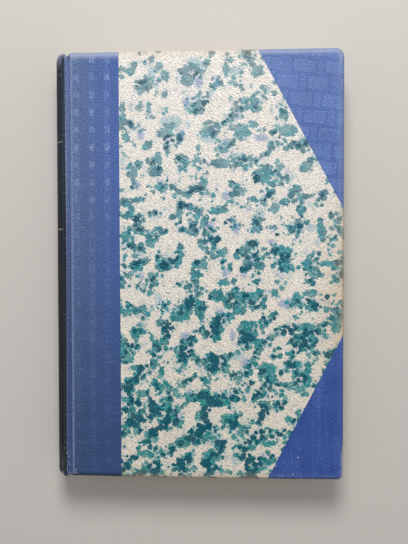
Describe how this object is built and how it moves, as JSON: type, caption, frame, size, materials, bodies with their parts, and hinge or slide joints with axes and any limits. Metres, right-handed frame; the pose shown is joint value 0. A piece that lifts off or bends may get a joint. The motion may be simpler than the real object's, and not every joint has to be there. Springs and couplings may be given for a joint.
{
  "type": "hardback book",
  "caption": "Closed hardback book in a half cloth case: blue cloth spine and corners, blotted paper sides, rounded hollow back, covers that open on cloth joints.",
  "frame": {"origin": "centre of the bounding box's base, on the back cover's outer face where the book lies", "axes": "+X from the spine to the fore-edge, +Y from the tail to the head, +Z from the back cover up to the front cover"},
  "size_m": [0.1462, 0.2138, 0.0248],
  "materials": {
    "page_paper": "uncoated book paper, cut edges, matte",
    "endpaper": "uncoated cream endpaper, matte",
    "band_cloth": "plain woven band over a cord",
    "gauze": "open cotton gauze, glued down",
    "lining_paper": "brown lining paper, matte",
    "board_card": "grey millboard and thin card",
    "spine_cloth": "fine-grained blue book cloth, faded",
    "corner_cloth": "fine-grained blue book cloth",
    "side_paper": "embossed cream side paper, matte",
    "gold_foil": "worn gilt line blocked into the cloth",
    "dark_blue_colour": "dark blue-green colour in the side paper",
    "teal_colour": "teal colour in the side paper",
    "pale_blue_colour": "pale lavender-blue colour in the side paper"
  },
  "bodies": {
    "book_block": {"pages": "page_paper", "front_flyleaf": "endpaper", "back_flyleaf": "endpaper", "head_band": "band_cloth", "tail_band": "band_cloth", "spine_mull": "gauze", "spine_lining": "lining_paper", "spine_card": "board_card", "spine_cloth": "spine_cloth", "spine_gold_lines": "gold_foil"},
    "front_cover": {"front_board": "board_card", "front_mull_flange": "gauze", "front_pastedown": "endpaper", "front_quarter_cloth": "spine_cloth", "front_head_corner": "corner_cloth", "front_tail_corner": "corner_cloth", "front_side_paper": "side_paper", "front_dark_blots": "dark_blue_colour", "front_teal_blots": "teal_colour", "front_pale_blots": "pale_blue_colour"},
    "back_cover": {"back_board": "board_card", "back_mull_flange": "gauze", "back_pastedown": "endpaper", "back_quarter_cloth": "spine_cloth", "back_head_corner": "corner_cloth", "back_tail_corner": "corner_cloth", "back_side_paper": "side_paper", "back_dark_blots": "dark_blue_colour", "back_teal_blots": "teal_colour", "back_pale_blots": "pale_blue_colour"}
  },
  "joints": [
    {"name": "front_joint", "type": "hinge", "parent": "book_block", "child": "front_cover", "pos_m": [-0.06516, 0, 0.02452], "axis": [0, -1, 0], "range_deg": [0, 180]},
    {"name": "back_joint", "type": "hinge", "parent": "book_block", "child": "back_cover", "pos_m": [-0.06516, 0, 0.0003], "axis": [0, 1, 0], "range_deg": [0, 180]}
  ]
}
